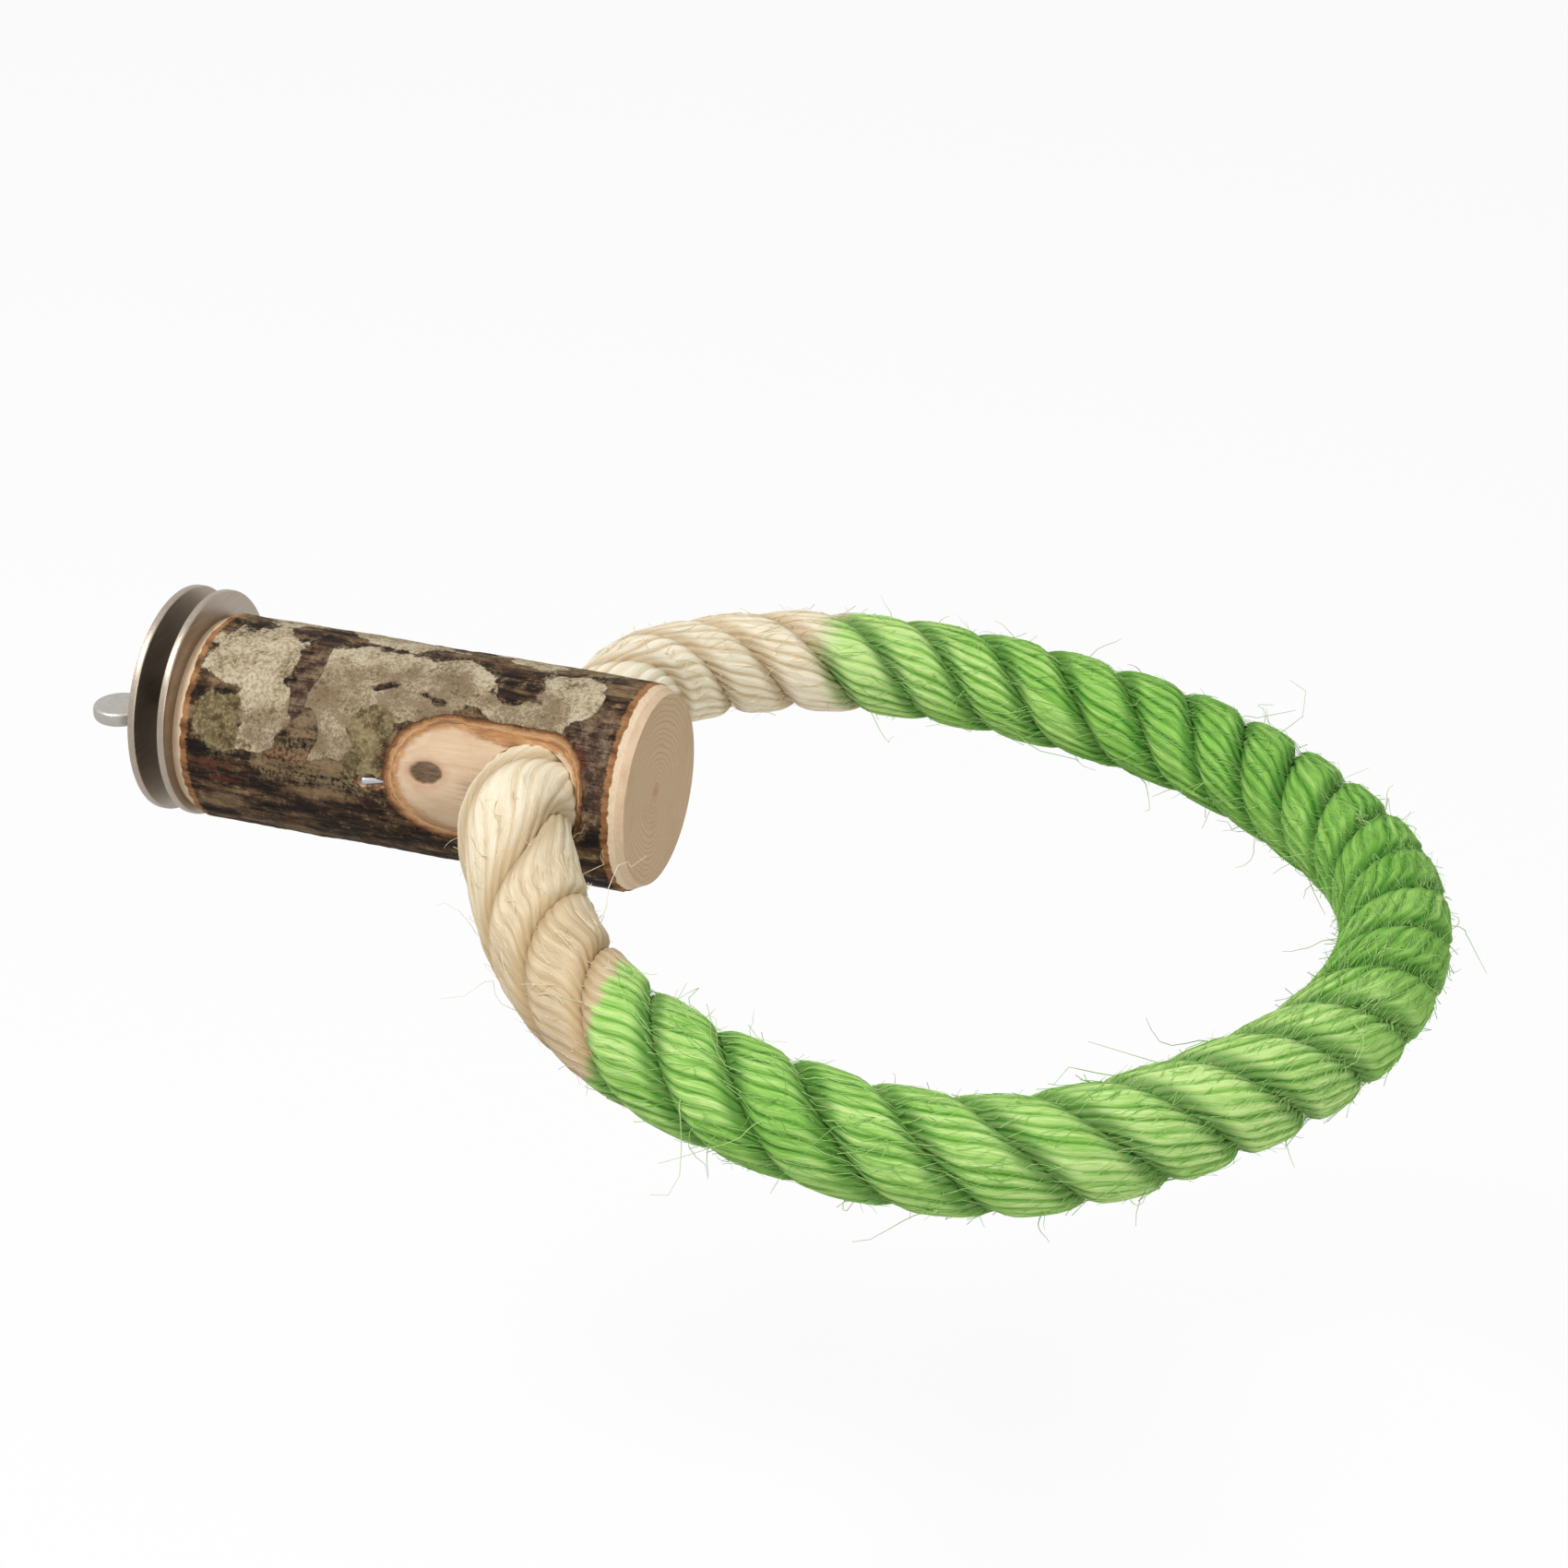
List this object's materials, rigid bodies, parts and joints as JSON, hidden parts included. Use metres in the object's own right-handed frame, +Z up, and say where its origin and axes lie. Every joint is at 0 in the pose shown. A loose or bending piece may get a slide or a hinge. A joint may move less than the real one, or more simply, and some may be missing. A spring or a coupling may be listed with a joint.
{
  "type": "parrot climbing ring",
  "caption": "Short bark-covered log with a thick rope ring through it, clamped to cage wires by a bolt, two large washers and a wing nut, for a parrot to perch on and climb.",
  "frame": {"origin": "on the bolt's axis, in the face of the front washer that presses on the cage wires", "axes": "+X along the bolt and the log, away from the cage; +Z up"},
  "size_m": [0.2371, 0.1728, 0.0429],
  "materials": {
    "wood": "sanded, unfinished pale wood",
    "bark": "thin natural bark, dark brown with pale grey-green patches",
    "sisal": "three-strand twisted sisal, dyed green between two undyed ends",
    "pin_steel": "bright drawn wire",
    "bolt_steel": "zinc plated, satin",
    "washer_steel": "stainless, rolled satin faces with stamped edges",
    "nut_steel": "zinc plated, satin"
  },
  "bodies": {
    "log": {"peg_wood": "wood", "peg_bark": "bark", "rope_ring": "sisal", "rope_pin_near": "pin_steel", "rope_pin_far": "pin_steel", "hanger_bolt": "bolt_steel", "front_washer": "washer_steel"},
    "rear_washer": {"rear_washer": "washer_steel"},
    "wing_nut": {"wing_nut": "nut_steel"}
  },
  "joints": [
    {"name": "washer_slide", "type": "slide", "parent": "log", "child": "rear_washer", "axis": [-1, 0, 0], "range_m": [-0.0042, 0.004]},
    {"name": "nut_spin", "type": "hinge", "parent": "rear_washer", "child": "wing_nut", "pos_m": [0, 0, 0], "axis": [-1, 0, 0], "range_deg": [-1512, 1440]}
  ],
  "couplings": [
    {"joint": "nut_spin", "follows": "washer_slide", "rad_per_m": 6283.2}
  ]
}
